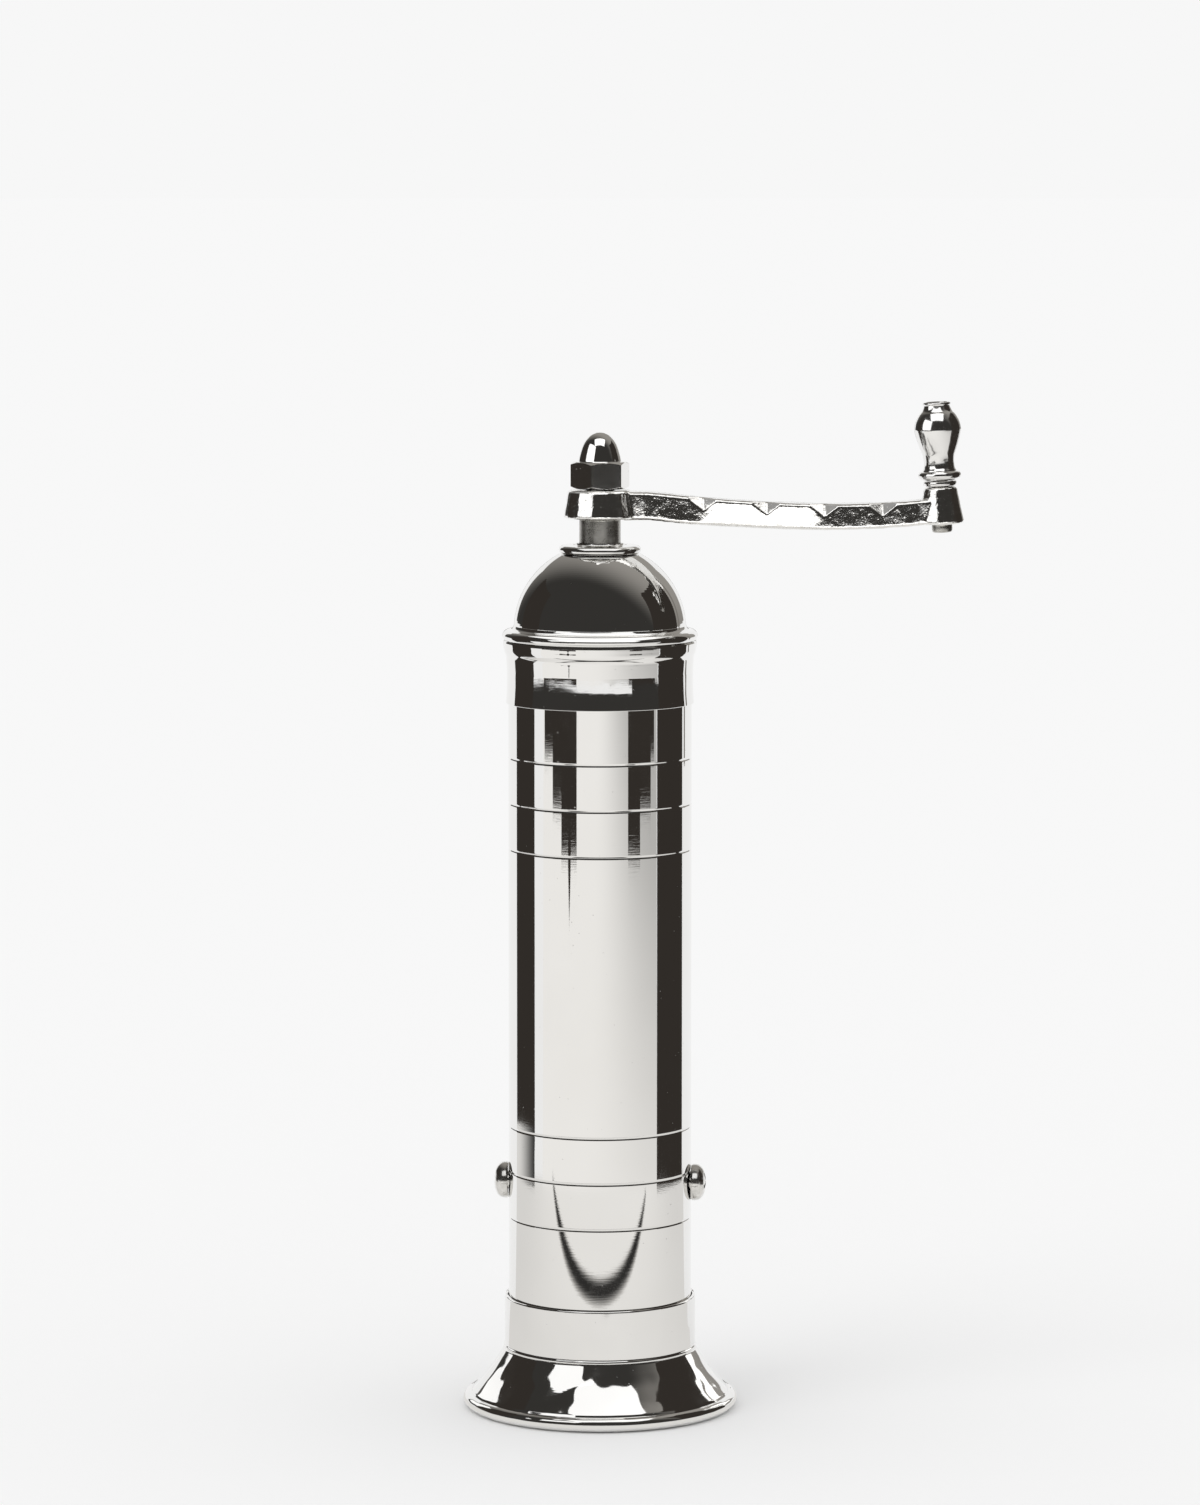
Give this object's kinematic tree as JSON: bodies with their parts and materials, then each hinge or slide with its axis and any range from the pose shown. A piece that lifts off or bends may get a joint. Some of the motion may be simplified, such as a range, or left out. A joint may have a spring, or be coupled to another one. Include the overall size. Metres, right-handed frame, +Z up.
{
  "type": "pepper mill",
  "caption": "Hand-cranked pepper mill: polished ringed tube on a flared foot, domed lid, crank arm with turned knob, burrs and grind adjuster inside.",
  "frame": {"origin": "centre of the ring that the foot stands on, on the tube's axis", "axes": "+Z up along the tube and spindle, +X along the crank arm at rest, +Y away from the front"},
  "size_m": [0.1092, 0.06, 0.2204],
  "materials": {
    "plated": "bright mirror plating on spun and turned brass",
    "cast_plated": "bright plating over a rough sand casting",
    "satin_steel": "turned satin steel",
    "screw_steel": "zinc plated screw steel",
    "burr_steel": "hardened steel, dark, machined teeth",
    "brass": "plain turned brass"
  },
  "bodies": {
    "mill_body": {"body_tube": "plated", "foot": "plated", "burr_ring": "burr_steel", "burr_screw_right": "screw_steel", "burr_screw_left": "screw_steel", "adjuster_bridge": "satin_steel", "bridge_screw_right": "screw_steel", "bridge_screw_left": "screw_steel", "adjuster_locknut": "brass"},
    "lid": {"lid_collar": "plated", "lid_dome": "plated", "lid_bush": "plated", "lid_bush_nut": "brass"},
    "thrust": {"thrust_ball": "satin_steel"},
    "adjuster": {"adjuster_screw": "brass"},
    "crank": {"spindle": "satin_steel", "burr_cone": "burr_steel", "cone_nut": "screw_steel", "cap_nut": "plated", "crank_arm": "cast_plated", "knob_pin": "satin_steel", "knob_washer": "plated"},
    "knob": {"knob": "plated"}
  },
  "joints": [
    {"name": "lid_lift", "type": "slide", "parent": "mill_body", "child": "lid", "axis": [0, 0, 1], "range_m": [0, 0.003]},
    {"name": "spindle_lift", "type": "slide", "parent": "mill_body", "child": "thrust", "axis": [0, 0, 1], "range_m": [-0.0015, 0.0005]},
    {"name": "adjuster_turn", "type": "hinge", "parent": "thrust", "child": "adjuster", "pos_m": [0, 0, 0.0225], "axis": [0, 0, 1], "range_deg": [-540.5, 180.5]},
    {"name": "crank_turn", "type": "hinge", "parent": "thrust", "child": "crank", "pos_m": [0, 0, 0.198], "axis": [0, 0, 1], "continuous": true},
    {"name": "knob_spin", "type": "hinge", "parent": "crank", "child": "knob", "pos_m": [0.0743, 0, 0.1938], "axis": [-0.0489, 0, 0.9988], "continuous": true}
  ],
  "couplings": [
    {"joint": "adjuster_turn", "follows": "spindle_lift", "rad_per_m": 6283.2}
  ]
}
